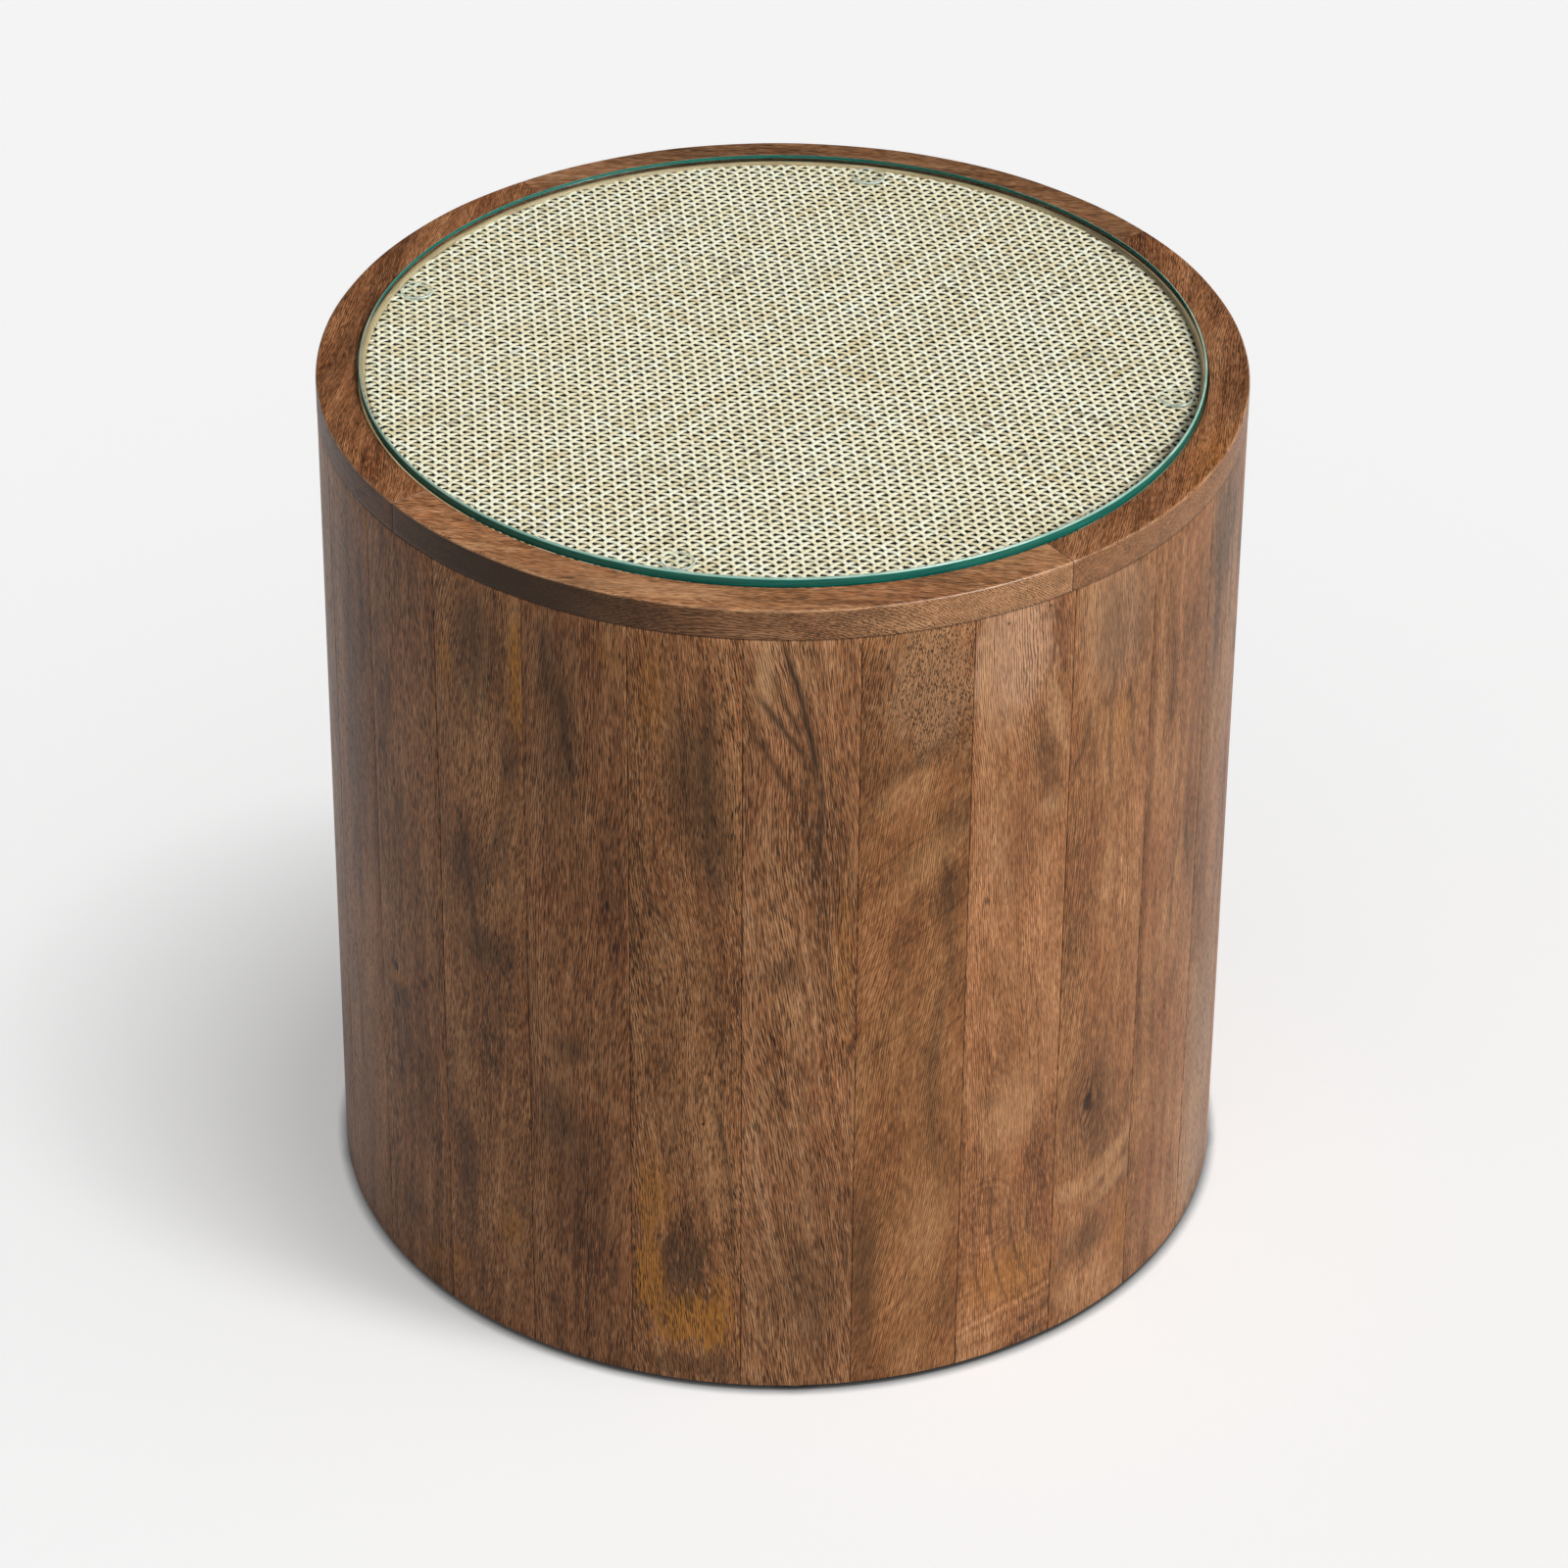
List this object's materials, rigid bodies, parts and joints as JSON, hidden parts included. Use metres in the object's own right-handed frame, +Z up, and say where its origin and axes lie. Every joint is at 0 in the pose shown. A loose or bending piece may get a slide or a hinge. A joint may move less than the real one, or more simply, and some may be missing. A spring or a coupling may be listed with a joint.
{
  "type": "drum side table",
  "caption": "Round drum side table: coopered brown wooden staves under a wooden rim, with woven cane beneath a loose clear glass top.",
  "frame": {"origin": "centre of the drum on the floor", "axes": "+Z up along the drum's axis, -Y towards the viewer of the picture"},
  "size_m": [0.504, 0.504, 0.5137],
  "materials": {
    "stave_wood": "satin lacquer",
    "rim_wood": "satin lacquer",
    "beech": "raw",
    "plywood": "raw",
    "dark_board": "matt black stain",
    "cane": "natural woven cane",
    "reed": "smooth natural reed",
    "clear_glass": "polished",
    "clear_bumper": "clear silicone",
    "glide_plastic": "black",
    "steel": "zinc plated"
  },
  "bodies": {
    "drum": {"stave_01": "stave_wood", "stave_02": "stave_wood", "stave_03": "stave_wood", "stave_04": "stave_wood", "stave_05": "stave_wood", "stave_06": "stave_wood", "stave_07": "stave_wood", "stave_08": "stave_wood", "stave_09": "stave_wood", "stave_10": "stave_wood", "stave_11": "stave_wood", "stave_12": "stave_wood", "stave_13": "stave_wood", "stave_14": "stave_wood", "stave_15": "stave_wood", "stave_16": "stave_wood", "stave_17": "stave_wood", "stave_18": "stave_wood", "stave_19": "stave_wood", "stave_20": "stave_wood", "stave_21": "stave_wood", "stave_22": "stave_wood", "stave_23": "stave_wood", "stave_24": "stave_wood", "stave_25": "stave_wood", "stave_26": "stave_wood", "rim_segment_1": "rim_wood", "rim_segment_2": "rim_wood", "rim_segment_3": "rim_wood", "rim_segment_4": "rim_wood", "glide_1": "glide_plastic", "glide_2": "glide_plastic", "glide_3": "glide_plastic", "glide_4": "glide_plastic", "rim_dowels": "beech", "rim_tongues": "beech", "ledger_hoop": "plywood", "bottom_hoop": "plywood", "sub_top_panel": "dark_board", "cane_webbing": "cane", "cane_spline": "reed", "panel_screws": "steel", "glide_nails": "steel"},
    "glass": {"glass_top": "clear_glass", "bumper_1": "clear_bumper", "bumper_2": "clear_bumper", "bumper_3": "clear_bumper", "bumper_4": "clear_bumper"}
  },
  "joints": [
    {"name": "glass_lift", "type": "slide", "parent": "drum", "child": "glass", "axis": [0, 0, 1], "range_m": [0, 0.06]}
  ]
}
